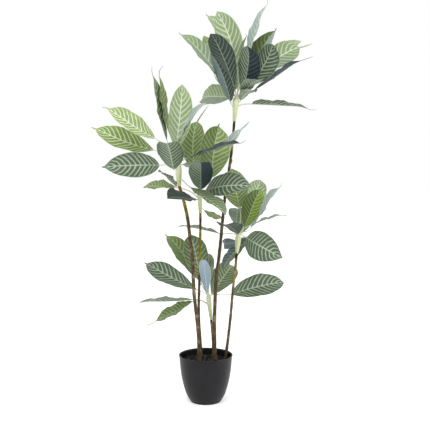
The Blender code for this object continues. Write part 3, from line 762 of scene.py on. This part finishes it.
def make_cane(shoot, surface):
    """A cane with its growth rings and small lumps, tinted from its tip down."""
    points = [seen(*p) for p in shoot.cane]
    foot_direction = (points[1] - points[0]).normalized()
    foot = points[0] - foot_direction * ((points[0].z - SOIL_LEVEL) / foot_direction.z)
    path = smooth_path([foot - foot_direction * 0.01] + [foot] + points[1:], CANE_STEP)
    low, high = (r * CM for r in shoot.cane_radii)
    top = path[-1]
    shell = Shell()
    rings = []
    travelled = 0.0
    for i, (point, direction) in enumerate(zip(path, directions(path))):
        travelled += (point - path[i - 1]).length if i else 0.0
        share = i / (len(path) - 1)
        flare = 1.0 + FOOT_FLARE * math.exp(-abs(point.z - foot.z) / FOOT_FLARE_HEIGHT)
        nearness = 1.0 - abs((travelled / CANE_RING_SPACING) % 1.0 - 0.5) * 2.0
        radius = between(low, high, share) * flare + CANE_RING_HEIGHT * nearness**6

        def lumpy(turn, radius=radius, point=point):
            place_on = point + Vector((math.cos(turn), math.sin(turn), 0.0)) * radius
            return radius + CANE_LUMP * noise.noise(place_on * CANE_LUMP_SCALE)

        tint = bark_colour(BARKS[shoot.name], (top - point).length)
        rings.append(ring(shell, point, direction, lumpy, CANE_SIDES, tint=tint))
    shell.add_rings(rings)
    if shoot.name == "tall":
        add_bud(shell)
    made = shell.build("bark_" + shoot.name, [surface])
    place(made, "bark", "cane_" + shoot.name)


def add_bud(shell):
    """The small green bud on the side of the tall cane."""
    start, end = (seen(*p) for p in BUD)
    direction = (end - start).normalized()
    rings = []
    for i in range(BUD_STEPS + 1):
        share = i / BUD_STEPS
        radius = BUD_RADIUS * math.sin(math.pi * between(0.12, 0.97, share)) ** 0.6
        rings.append(ring(shell, start.lerp(end, share), direction, radius, BUD_SIDES, tint=OLIVE_BARK))
    shell.add_rings(rings)


# Pot and fill


def pot_radius(height):
    """The pot's outer radius at a height."""
    level = height / CM
    for (r0, z0), (r1, z1) in zip(POT_OUTLINE, POT_OUTLINE[1:]):
        if level <= z1:
            return between(r0, r1, (level - z0) / (z1 - z0)) * CM
    return POT_OUTLINE[-1][0] * CM


def make_pot(surface):
    """The pot: a smooth round shell with a thin rounded lip."""
    outer = [Vector((r * CM, z * CM, 0.0)) for r, z in POT_OUTLINE]
    side = [(p.x, p.y) for p in smooth_path(outer[1:], POT_STEP)]
    rim_radius, rim = side[-1]
    side = [p for p in side if p[1] < rim - LIP_DROP]
    wide = rim_radius + LIP_WIDTH
    lip = [
        (pot_radius(rim - LIP_DROP), rim - LIP_DROP),
        (wide - LIP_ROUND, rim - LIP_DROP + LIP_ROUND * 0.5),
        (wide, rim - LIP_DROP + LIP_ROUND * 2.0),
        (wide, rim - LIP_ROUND),
        (wide - LIP_ROUND, rim),
        (rim_radius - POT_WALL + LIP_ROUND, rim),
        (rim_radius - POT_WALL, rim - LIP_ROUND),
    ]
    inner = [(r - POT_WALL, z) for r, z in reversed(side) if z > SOIL_LEVEL - SOIL_DEPTH]
    inner += [(inner[-1][0] * 0.5, inner[-1][1])]
    foot = [(0.02, 0.0), (outer[0].x, 0.0), (outer[0].x + 0.002, 0.0006), (outer[0].x + 0.0034, 0.0018)]
    shell = Shell()
    rings = [ring(shell, UP * z, UP, r, POT_SIDES) for r, z in foot + side + lip + inner]
    shell.add_rings(rings)
    made = shell.build("black_pot", [surface], sharp_degrees=60)
    place(made, "pot", "pot")


def fill_height(x, y):
    """The height of the fill's surface."""
    radius = math.hypot(x, y)
    edge = pot_radius(SOIL_LEVEL - SOIL_MOUND) - POT_WALL
    mound = SOIL_MOUND * smooth_step(SOIL_FLAT_RADIUS, edge, radius)
    return SOIL_LEVEL - mound + SOIL_BUMP * noise.noise(Vector((x, y, 0.0)) * 60.0)


def make_fill(surface):
    """The dark fill: an uneven bed with granules sunk into it."""
    shell = Shell()
    edge = pot_radius(SOIL_LEVEL - SOIL_MOUND) - POT_WALL - 0.0006
    rings = []
    for i in range(SOIL_RINGS):
        radius = edge * (i + 1) / SOIL_RINGS
        bed = []
        for k in range(SOIL_SIDES):
            turn = 2.0 * math.pi * k / SOIL_SIDES
            x, y = radius * math.cos(turn), radius * math.sin(turn)
            bed.append(shell.add_point(Vector((x, y, fill_height(x, y) - 0.0008)), grain=0.2))
        rings.append(bed)
    under = [shell.add_point(Vector((*shell.points[i].xy, SOIL_LEVEL - SOIL_DEPTH)), grain=0.2) for i in rings[-1]]
    shell.add_rings(rings + [under])
    draw = random.Random(SEED)
    ball = bmesh.new()
    bmesh.ops.create_icosphere(ball, subdivisions=1, radius=1.0)
    corners = [v.co.copy() for v in ball.verts]
    faces = [tuple(v.index for v in f.verts) for f in ball.faces]
    ball.free()
    for _ in range(GRANULES):
        size = between(*GRANULE_RADII, draw.random() ** 2)
        radius = (edge - size) * math.sqrt(draw.random())
        turn = 2.0 * math.pi * draw.random()
        x, y = radius * math.cos(turn), radius * math.sin(turn)
        centre = Vector((x, y, fill_height(x, y) + size * (0.5 - GRANULE_SINK)))
        turned = Matrix.Rotation(draw.uniform(0.0, math.pi), 3, "Z") @ Matrix.Rotation(draw.uniform(0, 3), 3, "X")
        stretch = Matrix.Diagonal((size, size * draw.uniform(0.6, 1.0), size * draw.uniform(0.5, 0.9)))
        grain = draw.random()
        first = len(shell.points)
        for corner in corners:
            jitter = 1.0 + 0.18 * (draw.random() - 0.5)
            shell.add_point(centre + turned @ (stretch @ (corner * jitter)), grain=grain)
        for face in faces:
            shell.add_face(tuple(first + i for i in face))
    made = shell.build("fill_granules", [surface], sharp_degrees=25)
    place(made, "fill", "soil")


# Materials


class Surface:
    """A material in the making, with short calls for its nodes."""

    def __init__(self, name, roughness, specular):
        self.material = bpy.data.materials.new(name)
        self.material.use_nodes = True
        self.tree = self.material.node_tree
        self.shader = self.tree.nodes["Principled BSDF"]
        self.shader.inputs["Roughness"].default_value = roughness
        self.shader.inputs["Specular IOR Level"].default_value = specular

    def node(self, kind, **settings):
        made = self.tree.nodes.new(kind)
        for name, value in settings.items():
            setattr(made, name, value)
        return made

    def join(self, source, target):
        """Sets an input to a number or colour, or links an output to it."""
        if isinstance(source, bpy.types.NodeSocket):
            self.tree.links.new(source, target)
        else:
            target.default_value = source

    def attribute(self, name, output="Fac"):
        return self.node("ShaderNodeAttribute", attribute_name=name).outputs[output]

    def math(self, operation, *values, clamp=False):
        made = self.node("ShaderNodeMath", operation=operation, use_clamp=clamp)
        for value, target in zip(values, made.inputs):
            self.join(value, target)
        return made.outputs[0]

    def step(self, value, low, high):
        """0 where the value is at low, 1 where it is at high, smooth between."""
        made = self.node("ShaderNodeMapRange", interpolation_type="SMOOTHSTEP")
        for source, name in ((value, "Value"), (low, "From Min"), (high, "From Max")):
            self.join(source, made.inputs[name])
        return made.outputs["Result"]

    def mix(self, share, first, second, blend="MIX"):
        made = self.node("ShaderNodeMix", data_type="RGBA", blend_type=blend)
        for source, target in ((share, made.inputs[0]), (first, made.inputs[6]), (second, made.inputs[7])):
            if isinstance(source, tuple):
                source = (*source, 1.0)
            self.join(source, target)
        return made.outputs[2]

    def noise(self, scale, detail=3.0, stretch=None, vector=None):
        """A noise from 0 to 1 over the object, or over a given vector, at so many lumps a metre."""
        source = vector or self.node("ShaderNodeTexCoord").outputs["Object"]
        if stretch:
            squeezed = self.node("ShaderNodeMapping")
            squeezed.inputs["Scale"].default_value = stretch
            self.tree.links.new(source, squeezed.inputs["Vector"])
            source = squeezed.outputs["Vector"]
        made = self.node("ShaderNodeTexNoise")
        made.inputs["Scale"].default_value = scale
        made.inputs["Detail"].default_value = detail
        self.tree.links.new(source, made.inputs["Vector"])
        return made.outputs["Fac"]

    def vector(self, x, y, z):
        made = self.node("ShaderNodeCombineXYZ")
        for source, target in zip((x, y, z), made.inputs):
            self.join(source, target)
        return made.outputs[0]

    def bump(self, height, strength, distance):
        made = self.node("ShaderNodeBump")
        made.inputs["Strength"].default_value = strength
        made.inputs["Distance"].default_value = distance
        self.tree.links.new(height, made.inputs["Height"])
        self.tree.links.new(made.outputs["Normal"], self.shader.inputs["Normal"])

    def colour(self, output):
        self.tree.links.new(output, self.shader.inputs["Base Color"])

    def roughness(self, output):
        self.tree.links.new(output, self.shader.inputs["Roughness"])


def leaf_material():
    """A satin leaf: pale midrib, margin and thin curved side veins over a mottled green, which carries each leaf's
    painted light and shade.
    """
    s = Surface("veined_leaf", 0.5, 0.3)
    along = s.attribute("along")
    side = s.math("ABSOLUTE", s.attribute("across"))
    blot = s.noise(70.0, 4.0)
    lean = s.math("MULTIPLY", s.math("POWER", side, VEIN_BEND), VEIN_LEAN)
    count = s.math("MULTIPLY", s.math("SUBTRACT", along, lean), VEIN_PAIRS)
    count = s.math("ADD", count, s.math("MULTIPLY", s.math("SUBTRACT", blot, 0.5), 0.45))
    off_vein = s.math("MULTIPLY", s.math("PINGPONG", count, 0.5), 2.0)
    line = s.math("SUBTRACT", 1.0, s.step(off_vein, 0.05, s.math("SUBTRACT", 0.46, s.math("MULTIPLY", side, 0.16))))
    glow = s.math("MULTIPLY", s.math("SUBTRACT", 1.0, off_vein), 0.18)
    fine = s.math("PINGPONG", s.math("MULTIPLY", count, 5.0), 0.5)
    vein = s.math("ADD", s.math("ADD", s.math("MULTIPLY", line, 0.85), glow), s.math("MULTIPLY", fine, 0.2), clamp=True)
    vein = s.math("MULTIPLY", vein, s.math("SUBTRACT", 1.0, s.step(side, 0.7, 1.15)))
    vein = s.math("MULTIPLY", vein, s.attribute("veins"))
    midrib = s.math("SUBTRACT", 1.0, s.step(side, 0.015, 0.07))
    margin = s.math("MULTIPLY", s.step(side, 0.93, 0.985), 0.7)
    pale = s.math("MAXIMUM", s.math("MAXIMUM", vein, midrib), margin)
    # The body colour is the leaf's tone, with its light and shade painted in.
    body = s.mix(s.step(blot, 0.25, 0.8), s.attribute("body", "Color"), (0.78, 0.86, 0.7), "MULTIPLY")
    colour = s.mix(pale, body, s.attribute("vein", "Color"))
    patch = s.noise(9.0, 2.0)
    colour = s.mix(s.math("MULTIPLY", s.step(patch, 0.45, 0.75), 0.35), colour, (0.75, 0.8, 0.8), "MULTIPLY")
    s.colour(colour)
    s.roughness(s.math("ADD", s.math("MULTIPLY", blot, 0.2), 0.4))
    s.bump(s.math("SUBTRACT", s.math("MULTIPLY", fine, 0.3), vein), 0.35, 0.0006)
    return s.material


def stem_material():
    """Pale stalks and sheaths with fine lengthwise streaks."""
    s = Surface("pale_stem", 0.5, 0.35)
    streaks = s.noise(160.0, 3.0, (1.0, 1.0, 0.12))
    tint = s.attribute("tint", "Color")
    s.colour(s.mix(s.step(streaks, 0.35, 0.75), tint, (0.72, 0.78, 0.6), "MULTIPLY"))
    s.bump(streaks, 0.3, 0.0005)
    return s.material


def bark_material():
    """Dry bark: fine rings, lengthwise cracks and pale flecks over its tint."""
    s = Surface("dry_bark", 0.78, 0.25)
    tint = s.attribute("tint", "Color")
    cracks = s.noise(220.0, 5.0, (1.0, 1.0, 0.22))
    rings = s.noise(240.0, 2.0, (0.12, 0.12, 1.0))
    blotches = s.noise(38.0, 3.0)
    colour = s.mix(s.step(cracks, 0.4, 0.65), tint, (0.42, 0.38, 0.34), "MULTIPLY")
    colour = s.mix(s.math("MULTIPLY", s.step(blotches, 0.52, 0.7), 0.4), colour, shade(168, 150, 118))
    colour = s.mix(s.math("MULTIPLY", s.step(rings, 0.55, 0.7), 0.4), colour, (0.5, 0.46, 0.42), "MULTIPLY")
    s.colour(colour)
    s.bump(s.math("SUBTRACT", s.math("MULTIPLY", rings, 0.6), cracks), 0.6, 0.0012)
    return s.material


def pot_material():
    """Matt black plastic with a fine tooth and faint wear."""
    s = Surface("matt_black_pot", 0.5, 0.25)
    tooth = s.noise(900.0, 2.0)
    cloud = s.noise(14.0, 3.0)
    s.colour(s.mix(s.step(cloud, 0.3, 0.75), POT_COLOUR, shade(24, 24, 28)))
    s.roughness(s.math("ADD", s.math("MULTIPLY", cloud, 0.12), 0.36))
    s.bump(tooth, 0.12, 0.0002)
    return s.material


def fill_material():
    """Near-black granules with a few grey and brown ones among them."""
    s = Surface("dark_granules", 0.85, 0.3)
    grain = s.attribute("grain")
    speck = s.noise(500.0, 2.0)
    colour = s.mix(s.step(grain, 0.35, 0.9), shade(24, 22, 22), shade(62, 54, 46))
    colour = s.mix(s.step(grain, 0.93, 0.96), colour, shade(130, 128, 126))
    s.colour(s.mix(s.step(speck, 0.4, 0.7), colour, (0.55, 0.55, 0.55), "MULTIPLY"))
    s.bump(speck, 0.5, 0.0006)
    return s.material


def floor_material():
    """A white floor with a little light of its own, so that it meets the white surroundings unseen."""
    s = Surface("white_floor", 0.9, 0.1)
    s.shader.inputs["Base Color"].default_value = (0.9, 0.9, 0.9, 1.0)
    s.shader.inputs["Emission Color"].default_value = (1.0, 1.0, 1.0, 1.0)
    s.shader.inputs["Emission Strength"].default_value = FLOOR_GLOW
    return s.material


# Camera, floor and light


def make_camera():
    """The camera at the photograph's viewpoint."""
    data = bpy.data.cameras.new("camera")
    data.lens = LENS
    camera = bpy.data.objects.new("camera", data)
    camera.location = VIEWPOINT
    camera.rotation_euler = (math.radians(90.0 - VIEW_TILT), 0.0, 0.0)
    bpy.context.scene.collection.objects.link(camera)
    bpy.context.scene.camera = camera


def make_floor():
    """A plain pale floor."""
    bm = bmesh.new()
    bmesh.ops.create_grid(bm, x_segments=1, y_segments=1, size=FLOOR_SIZE / 2.0)
    mesh = bpy.data.meshes.new("floor")
    bm.to_mesh(mesh)
    bm.free()
    mesh.materials.append(floor_material())
    floor = bpy.data.objects.new("floor", mesh)
    bpy.context.scene.collection.objects.link(floor)


def add_light(name, place_at, aim, size, power, colour=(1.0, 1.0, 1.0)):
    """A square soft light."""
    data = bpy.data.lights.new(name, "AREA")
    data.size = size
    data.energy = power
    data.color = colour
    light = bpy.data.objects.new(name, data)
    light.location = place_at
    light.rotation_euler = (Vector(aim) - Vector(place_at)).to_track_quat("-Z", "Y").to_euler()
    bpy.context.scene.collection.objects.link(light)


def make_light():
    """Soft white surroundings with a large light above and one at the right."""
    scene = bpy.context.scene
    world = bpy.data.worlds.new("studio")
    world.use_nodes = True
    backdrop = world.node_tree.nodes["Background"]
    backdrop.inputs["Color"].default_value = (1.0, 1.0, 1.0, 1.0)
    backdrop.inputs["Strength"].default_value = 1.0
    scene.world = world
    scene.view_settings.view_transform = "Standard"
    add_light("top", (-0.6, -1.6, 3.4), (0.0, 0.0, 0.9), 1.8, 45.0)
    add_light("right", (2.6, -0.6, 1.2), (0.0, 0.0, 0.5), 1.2, 18.0)


def main():
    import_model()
    make_camera()
    make_floor()
    make_light()
    make_pot(pot_material())
    make_fill(fill_material())
    bark = bark_material()
    leaf = leaf_material()
    stem = stem_material()
    for shoot in SHOOTS:
        make_cane(shoot, bark)
        make_shoot(shoot, leaf, stem)
    bpy.context.view_layer.update()


main()
